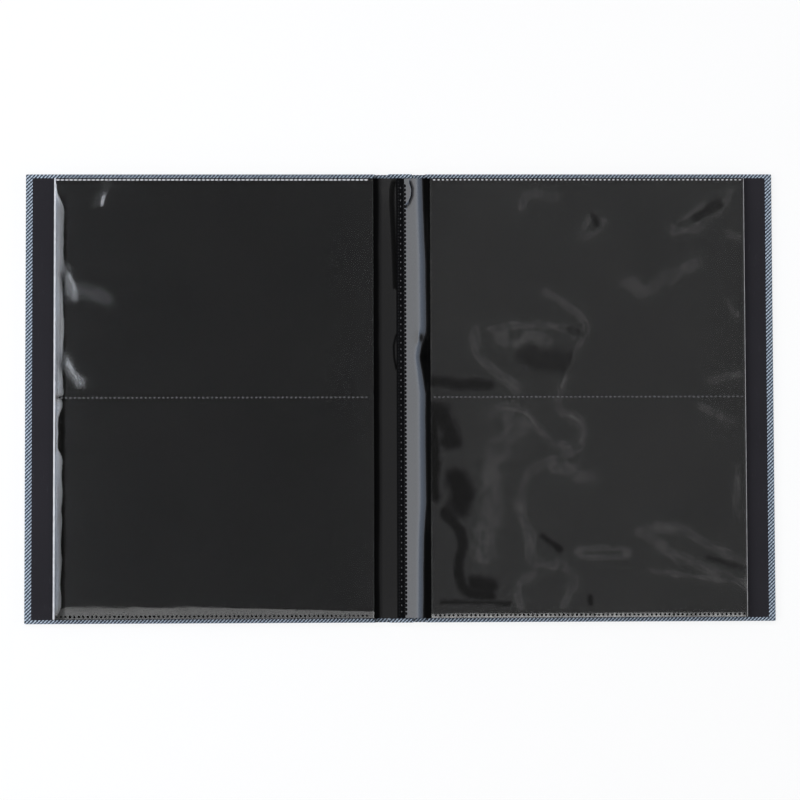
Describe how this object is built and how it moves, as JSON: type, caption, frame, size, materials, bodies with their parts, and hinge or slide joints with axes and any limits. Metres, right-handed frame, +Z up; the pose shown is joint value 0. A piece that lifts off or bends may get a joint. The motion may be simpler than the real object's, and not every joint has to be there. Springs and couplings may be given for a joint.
{
  "type": "photo album",
  "caption": "Cloth-covered hardback photo album lying open, with black leaves in clear slip-in pockets that turn about a welded gutter and a case that folds shut.",
  "frame": {"origin": "on the table under the gutter line, midway along the spine", "axes": "+X to the reader's right, +Y to the head of the pages, +Z up"},
  "size_m": [0.3754, 0.225, 0.0063],
  "materials": {
    "grey_board": "matt grey board",
    "cover_cloth": "blue-grey twill book cloth",
    "black_lining": "matt black lining paper",
    "gutter_guard": "black film with pressed weld dots",
    "black_sheet": "smooth black film",
    "clear_film": "clear glossy film with soft ripples",
    "film_weld": "pressed weld, toothed"
  },
  "bodies": {
    "back_cover": {"back_board": "grey_board", "back_cloth": "cover_cloth", "back_lining": "black_lining"},
    "spine": {"spine_board": "grey_board", "spine_cloth": "cover_cloth", "spine_lining": "black_lining", "gutter_guards": "gutter_guard"},
    "front_cover": {"front_board": "grey_board", "front_cloth": "cover_cloth", "front_lining": "black_lining"},
    "leaf_01": {"leaf_01_sheet": "black_sheet", "leaf_01_sleeve": "clear_film", "leaf_01_welds": "film_weld"},
    "leaf_02": {"leaf_02_sheet": "black_sheet", "leaf_02_sleeve": "clear_film", "leaf_02_welds": "film_weld"},
    "leaf_03": {"leaf_03_sheet": "black_sheet", "leaf_03_sleeve": "clear_film", "leaf_03_welds": "film_weld"},
    "leaf_04": {"leaf_04_sheet": "black_sheet", "leaf_04_sleeve": "clear_film", "leaf_04_welds": "film_weld"},
    "leaf_05": {"leaf_05_sheet": "black_sheet", "leaf_05_sleeve": "clear_film", "leaf_05_welds": "film_weld"},
    "leaf_06": {"leaf_06_sheet": "black_sheet", "leaf_06_sleeve": "clear_film", "leaf_06_welds": "film_weld"},
    "leaf_07": {"leaf_07_sheet": "black_sheet", "leaf_07_sleeve": "clear_film", "leaf_07_welds": "film_weld"},
    "leaf_08": {"leaf_08_sheet": "black_sheet", "leaf_08_sleeve": "clear_film", "leaf_08_welds": "film_weld"},
    "leaf_09": {"leaf_09_sheet": "black_sheet", "leaf_09_sleeve": "clear_film", "leaf_09_welds": "film_weld"},
    "leaf_10": {"leaf_10_sheet": "black_sheet", "leaf_10_sleeve": "clear_film", "leaf_10_welds": "film_weld"},
    "leaf_11": {"leaf_11_sheet": "black_sheet", "leaf_11_sleeve": "clear_film", "leaf_11_welds": "film_weld"},
    "leaf_12": {"leaf_12_sheet": "black_sheet", "leaf_12_sleeve": "clear_film", "leaf_12_welds": "film_weld"}
  },
  "joints": [
    {"name": "back_fold", "type": "hinge", "parent": "spine", "child": "back_cover", "pos_m": [0.00675, 0, 0.0002], "axis": [0, 1, 0], "range_deg": [-90, 0]},
    {"name": "front_fold", "type": "hinge", "parent": "spine", "child": "front_cover", "pos_m": [-0.00675, 0, 0.0002], "axis": [0, -1, 0], "range_deg": [-90, 0]},
    {"name": "first_leaf_fold", "type": "hinge", "parent": "spine", "child": "leaf_01", "pos_m": [0, 0, 0.00665], "axis": [0, 1, 0], "range_deg": [0, 90]},
    {"name": "last_leaf_fold", "type": "hinge", "parent": "spine", "child": "leaf_12", "pos_m": [0, 0, 0.00665], "axis": [0, -1, 0], "range_deg": [0, 90]},
    {"name": "leaf_02_turn", "type": "hinge", "parent": "leaf_01", "child": "leaf_02", "pos_m": [0, 0, 0.00665], "axis": [0, 1, 0], "range_deg": [0, 180]},
    {"name": "leaf_03_turn", "type": "hinge", "parent": "leaf_02", "child": "leaf_03", "pos_m": [0, 0, 0.00665], "axis": [0, 1, 0], "range_deg": [0, 180]},
    {"name": "leaf_04_turn", "type": "hinge", "parent": "leaf_03", "child": "leaf_04", "pos_m": [0, 0, 0.00665], "axis": [0, 1, 0], "range_deg": [0, 180]},
    {"name": "leaf_05_turn", "type": "hinge", "parent": "leaf_04", "child": "leaf_05", "pos_m": [0, 0, 0.00665], "axis": [0, 1, 0], "range_deg": [0, 180]},
    {"name": "leaf_06_turn", "type": "hinge", "parent": "leaf_05", "child": "leaf_06", "pos_m": [0, 0, 0.00665], "axis": [0, 1, 0], "range_deg": [0, 180]},
    {"name": "leaf_11_turn", "type": "hinge", "parent": "leaf_12", "child": "leaf_11", "pos_m": [0, 0, 0.00665], "axis": [0, -1, 0], "range_deg": [0, 180]},
    {"name": "leaf_10_turn", "type": "hinge", "parent": "leaf_11", "child": "leaf_10", "pos_m": [0, 0, 0.00665], "axis": [0, -1, 0], "range_deg": [0, 180]},
    {"name": "leaf_09_turn", "type": "hinge", "parent": "leaf_10", "child": "leaf_09", "pos_m": [0, 0, 0.00665], "axis": [0, -1, 0], "range_deg": [0, 180]},
    {"name": "leaf_08_turn", "type": "hinge", "parent": "leaf_09", "child": "leaf_08", "pos_m": [0, 0, 0.00665], "axis": [0, -1, 0], "range_deg": [0, 180]},
    {"name": "leaf_07_turn", "type": "hinge", "parent": "leaf_08", "child": "leaf_07", "pos_m": [0, 0, 0.00665], "axis": [0, -1, 0], "range_deg": [0, 180]}
  ],
  "couplings": [
    {"joint": "first_leaf_fold", "follows": "front_fold", "ratio": -1},
    {"joint": "last_leaf_fold", "follows": "back_fold", "ratio": -1}
  ]
}
